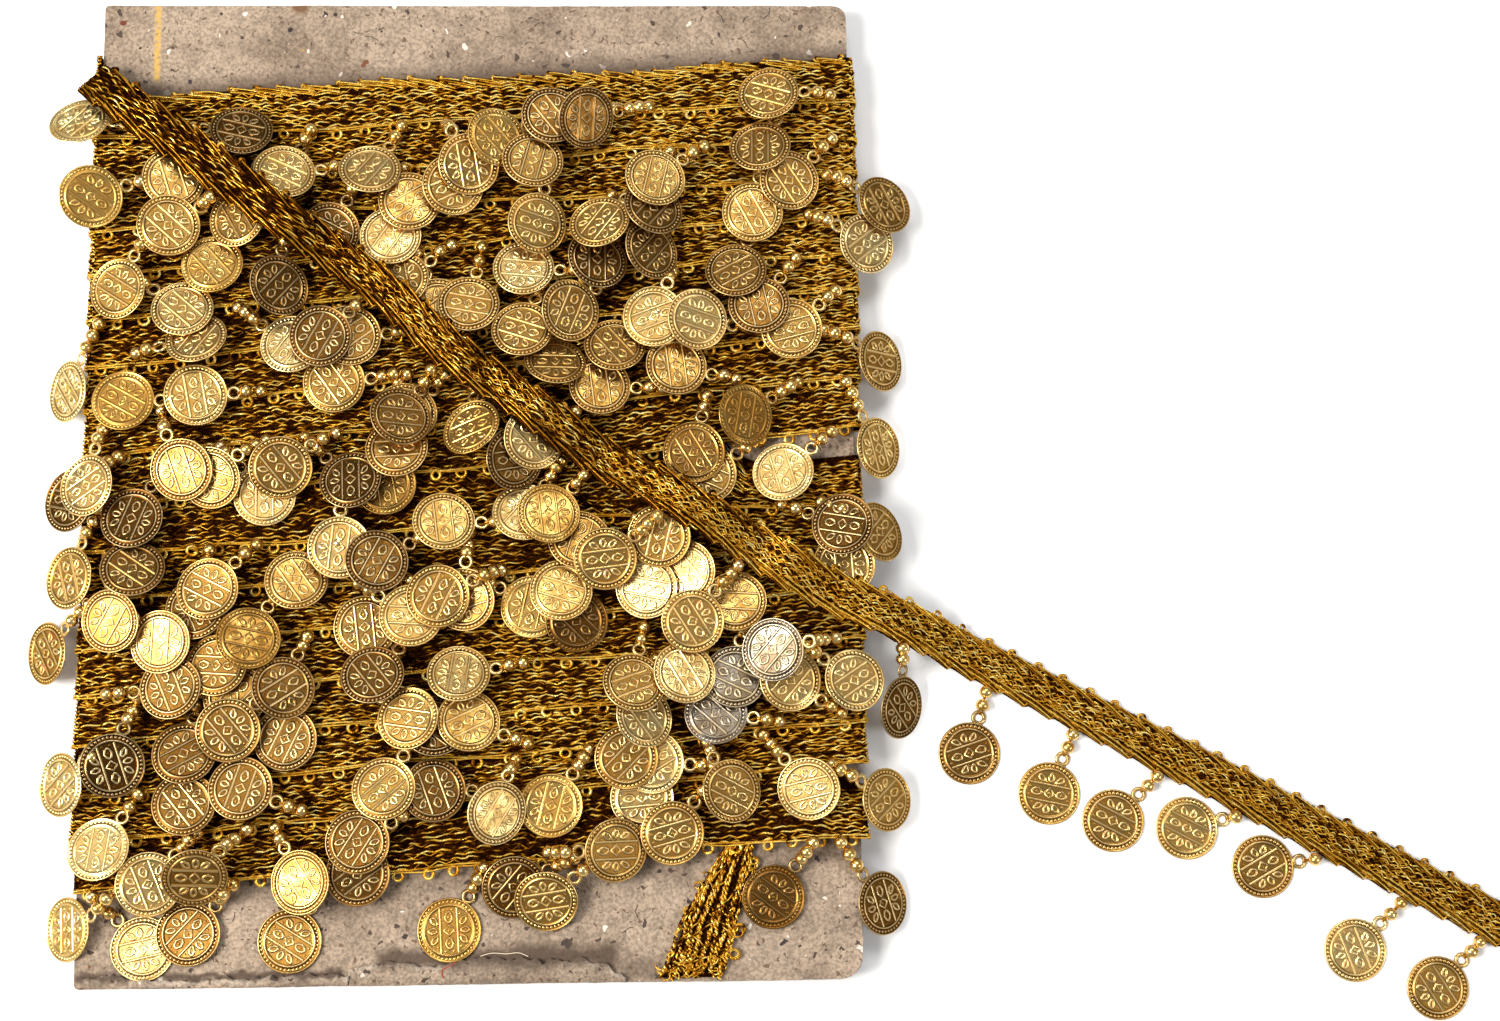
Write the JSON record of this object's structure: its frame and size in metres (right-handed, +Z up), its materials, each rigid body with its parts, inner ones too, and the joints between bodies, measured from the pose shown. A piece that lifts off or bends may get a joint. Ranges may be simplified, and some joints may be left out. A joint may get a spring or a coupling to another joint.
{
  "type": "gota lace trim wound on a card",
  "caption": "Narrow gold lace trim with hanging coin charms, wound in sloping turns on a flat board, its loose end lying across it and over the surface.",
  "frame": {"origin": "middle of the whole object's box, on the surface it lies on", "axes": "+X along the card's width towards the loose end, +Y along the card's height, +Z up out of the wound front"},
  "size_m": [0.3274, 0.225, 0.0208],
  "materials": {
    "board": "matt grey recycled board with flecks and fibres",
    "lace": "crocheted metallic gold thread",
    "charms": "thin stamped gold-coloured coins and polished beads"
  },
  "bodies": {
    "root": {"card": "board", "wound_lace": "lace", "start_end": "lace", "tail": "lace", "tail_charms_card": "charms", "tail_charms_surface": "charms", "front_charms_01": "charms", "front_charms_02": "charms", "front_charms_03": "charms", "front_charms_04": "charms", "front_charms_05": "charms", "front_charms_06": "charms", "front_charms_07": "charms", "front_charms_08": "charms", "front_charms_09": "charms", "front_charms_10": "charms", "front_charms_11": "charms", "front_charms_12": "charms", "front_charms_13": "charms", "front_charms_14": "charms", "front_charms_15": "charms", "front_charms_16": "charms", "front_charms_17": "charms", "back_charms_01": "charms", "back_charms_02": "charms", "back_charms_03": "charms", "back_charms_04": "charms", "back_charms_05": "charms", "back_charms_06": "charms", "back_charms_07": "charms", "back_charms_08": "charms", "back_charms_09": "charms", "back_charms_10": "charms", "back_charms_11": "charms", "back_charms_12": "charms", "back_charms_13": "charms", "back_charms_14": "charms", "back_charms_15": "charms", "back_charms_16": "charms", "back_charms_17": "charms"}
  },
  "joints": []
}
